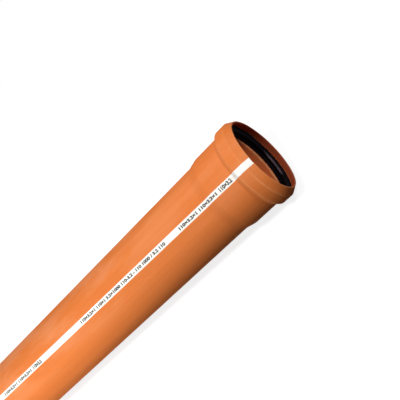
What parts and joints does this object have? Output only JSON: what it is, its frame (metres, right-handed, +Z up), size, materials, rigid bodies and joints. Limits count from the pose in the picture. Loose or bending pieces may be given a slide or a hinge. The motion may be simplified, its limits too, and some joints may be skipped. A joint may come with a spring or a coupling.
{
  "type": "pvc drain pipe",
  "caption": "Orange-brown plastic drain pipe with a chamfered spigot and, at its other end, a push-fit socket whose hollow bead holds a rubber seal ring.",
  "frame": {"origin": "centre of the spigot's end face, on the pipe's axis", "axes": "+X along the pipe from the spigot to the socket's rim; +Z up, with the pipe lying on its side"},
  "size_m": [1, 0.1268, 0.1268],
  "materials": {
    "pipe_plastic": "satin",
    "seal_rubber": "matte"
  },
  "bodies": {
    "root": {"pipe": "pipe_plastic", "seal_ring": "seal_rubber"}
  },
  "joints": []
}
